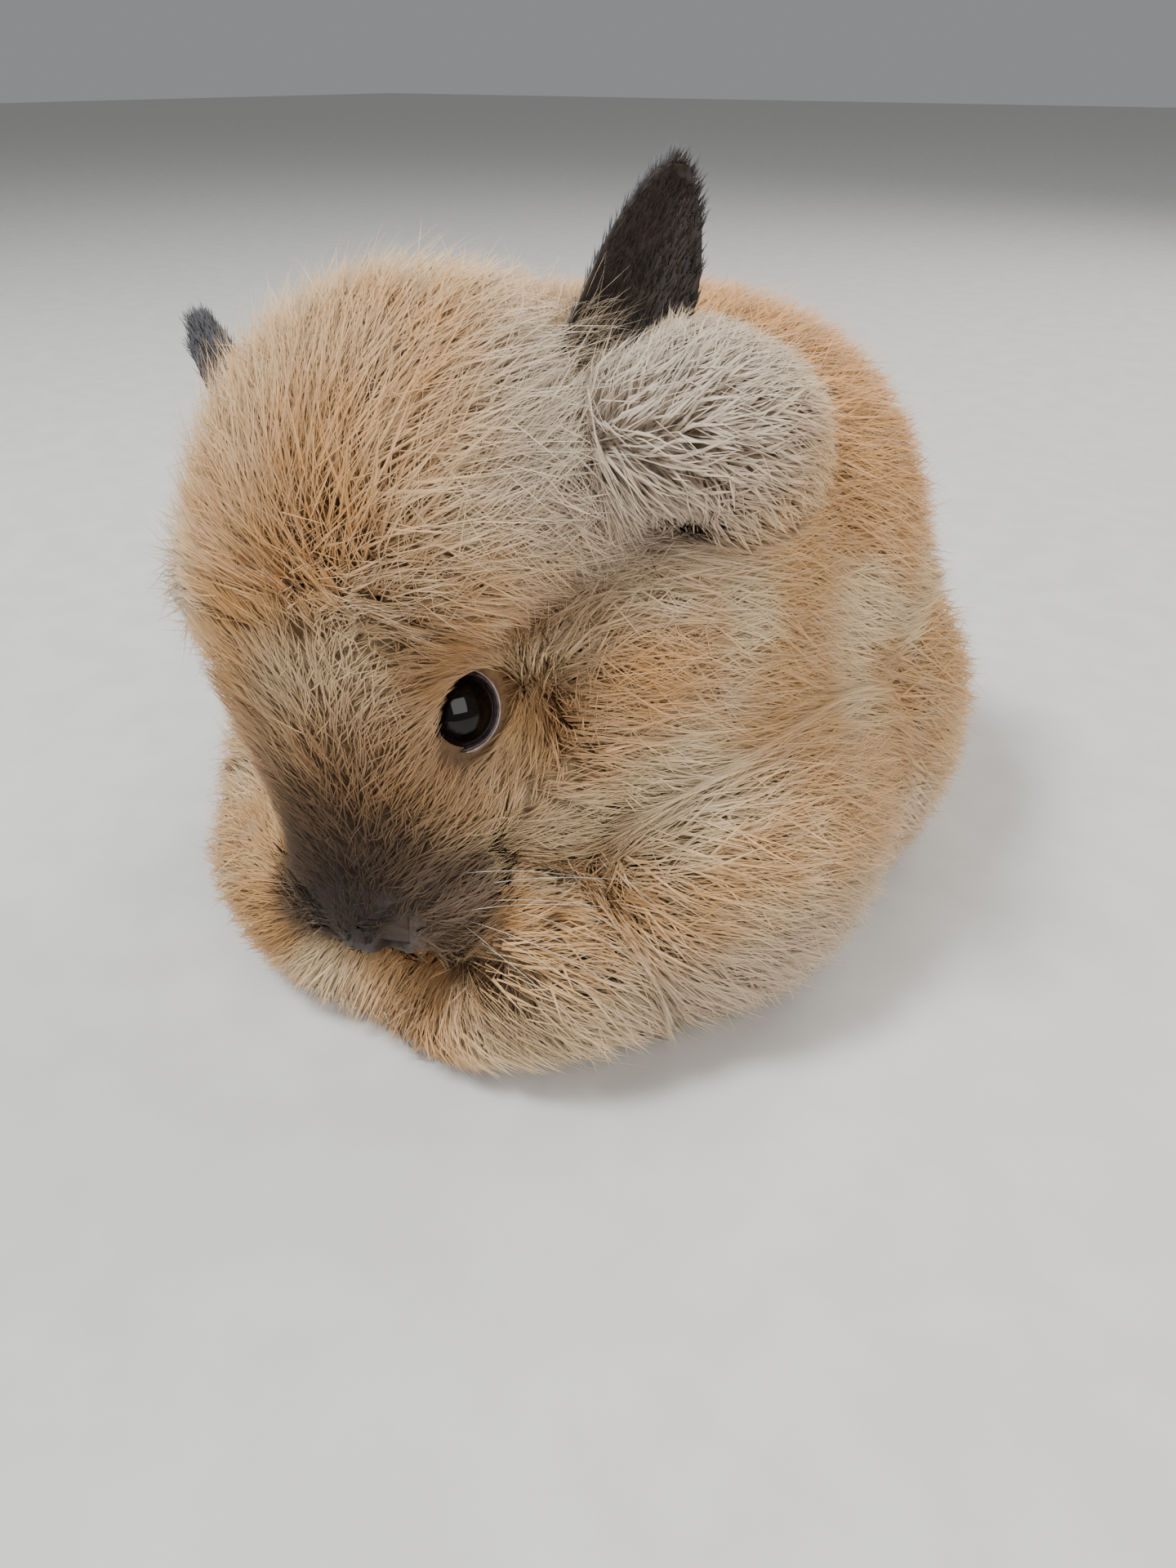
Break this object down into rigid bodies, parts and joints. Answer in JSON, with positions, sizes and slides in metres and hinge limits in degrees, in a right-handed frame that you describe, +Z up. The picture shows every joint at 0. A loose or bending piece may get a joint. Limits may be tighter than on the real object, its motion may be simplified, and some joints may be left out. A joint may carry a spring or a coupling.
{
  "type": "lionhead rabbit kit",
  "caption": "Crouched young long-coated rabbit with a full mane, upright ears and its head lowered and turned to one side, resting on its feet.",
  "frame": {"origin": "on the floor under the middle of the whole animal's box", "axes": "+Z up, the nose points towards -Y, the animal's left side is +X, +Y runs from the nose to the tail"},
  "size_m": [0.16, 0.2052, 0.152],
  "materials": {
    "coat": "long soft fur",
    "dark_fur": "short soft fur",
    "eye": "wet gloss"
  },
  "bodies": {
    "root": {"head": "coat", "neck": "coat", "torso": "coat", "tail": "coat", "hindleg_left": "coat", "hindleg_right": "coat", "foreleg_left": "coat", "foreleg_right": "coat", "ear_left": "dark_fur", "ear_right": "dark_fur", "eye_left": "eye", "eye_right": "eye"}
  },
  "joints": []
}
